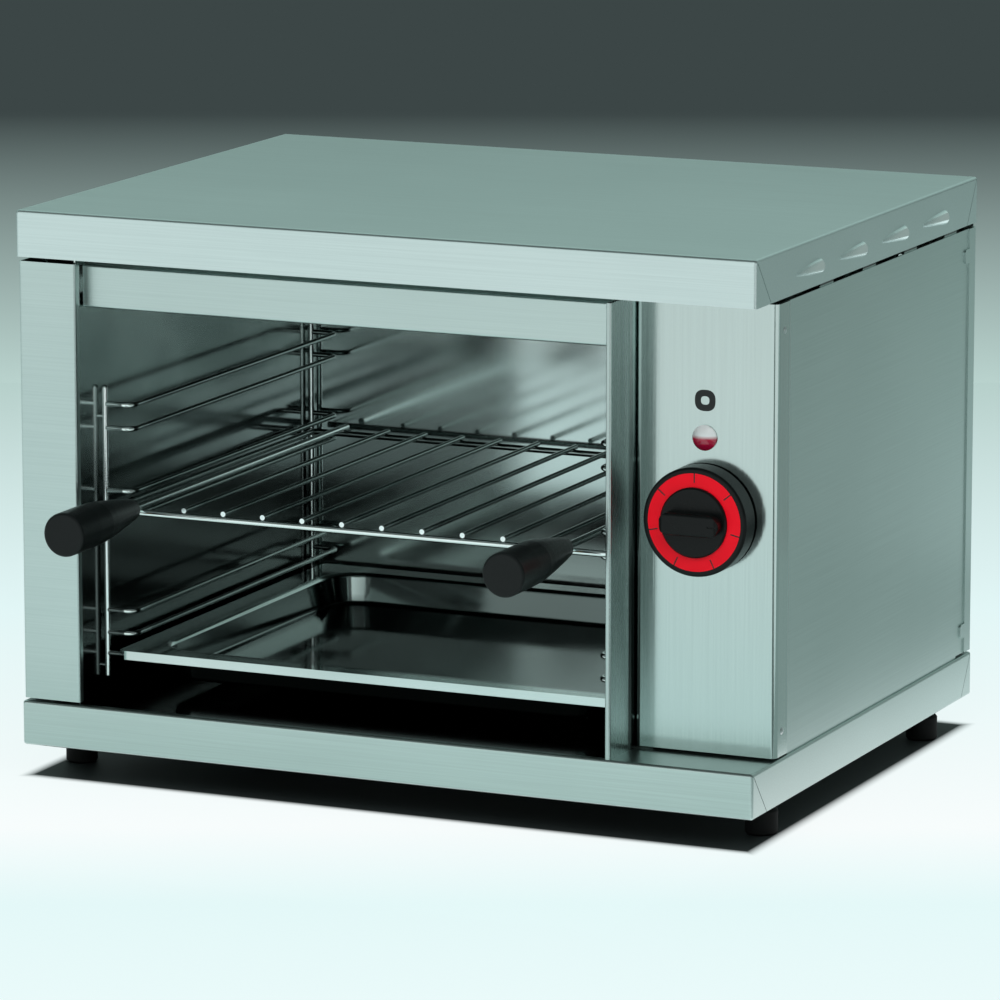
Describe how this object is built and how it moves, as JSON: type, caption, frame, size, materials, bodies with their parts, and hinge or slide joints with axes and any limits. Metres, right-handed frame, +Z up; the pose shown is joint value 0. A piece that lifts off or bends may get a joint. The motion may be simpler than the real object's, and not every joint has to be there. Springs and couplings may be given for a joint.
{
  "type": "cheese melter",
  "caption": "Countertop electric cheese melter: open stainless grilling cavity with pull-out wire rack and drip tray, radiant elements above, dial knob and pilot lamp at the right",
  "frame": {"origin": "centre of the footprint, on the plane the feet stand on", "axes": "+Z is up, the front with the opening and the knob faces -Y, +X points to the right of someone who stands in front"},
  "size_m": [0.5474, 0.517, 0.393],
  "materials": {
    "brushed_stainless": "satin",
    "polished_stainless": "polished",
    "bright_wire": "polished",
    "element_sheath": "matte",
    "black_bakelite": "satin",
    "knob_black": "satin",
    "dial_red": "gloss",
    "lamp_red": "gloss",
    "black_plastic": "matte",
    "white_ceramic": "matte",
    "mineral_wool": "matte",
    "brass": "satin",
    "zinc_steel": "satin",
    "black_rubber": "matte",
    "lead_insulation": "satin"
  },
  "bodies": {
    "casing": {"base_pan": "brushed_stainless", "top_cover": "brushed_stainless", "left_side_panel": "brushed_stainless", "right_side_panel": "brushed_stainless", "back_panel": "brushed_stainless", "front_header": "brushed_stainless", "control_panel": "brushed_stainless", "divider_blade": "brushed_stainless", "cavity_left_wall": "polished_stainless", "cavity_right_wall": "polished_stainless", "cavity_back_wall": "polished_stainless", "heat_reflector": "polished_stainless", "insulation_blanket": "mineral_wool", "front_element": "element_sheath", "middle_element": "element_sheath", "rear_element": "element_sheath", "element_hangers": "polished_stainless", "element_flange_nuts": "brass", "element_terminals": "white_ceramic", "left_uprights": "bright_wire", "left_runners": "bright_wire", "left_pins": "bright_wire", "right_uprights": "bright_wire", "right_runners": "bright_wire", "right_pins": "bright_wire", "regulator_body": "white_ceramic", "regulator_screws": "zinc_steel", "pilot_lamp_lens": "lamp_red", "pilot_lamp_holder": "black_plastic", "terminal_block": "white_ceramic", "terminal_screws": "brass", "cable_gland": "black_plastic", "gland_locknut": "black_plastic", "earth_stud": "brass", "earth_nuts": "brass", "wiring_loom": "lead_insulation", "feet": "black_rubber", "foot_screws": "zinc_steel", "foot_nuts": "zinc_steel", "cover_screws": "zinc_steel", "back_panel_screws": "zinc_steel", "control_panel_screws": "zinc_steel"},
    "rack": {"rack_frame": "bright_wire", "rack_wires": "bright_wire", "rack_rear_bar": "bright_wire", "rack_handle_rods": "bright_wire", "left_handle": "black_bakelite", "right_handle": "black_bakelite", "handle_inserts": "brass"},
    "tray": {"drip_tray": "polished_stainless"},
    "knob": {"knob_body": "knob_black", "knob_dial": "dial_red", "regulator_shaft": "zinc_steel"}
  },
  "joints": [
    {"name": "knob_turn", "type": "hinge", "parent": "casing", "child": "knob", "pos_m": [0.2185, -0.1375, 0.213], "axis": [0, 1, 0], "range_deg": [0, 308.57]},
    {"name": "rack_slide", "type": "slide", "parent": "casing", "child": "rack", "axis": [0, -1, 0], "range_m": [0, 0.3]},
    {"name": "tray_slide", "type": "slide", "parent": "casing", "child": "tray", "axis": [0, -1, 0], "range_m": [0, 0.3]}
  ]
}
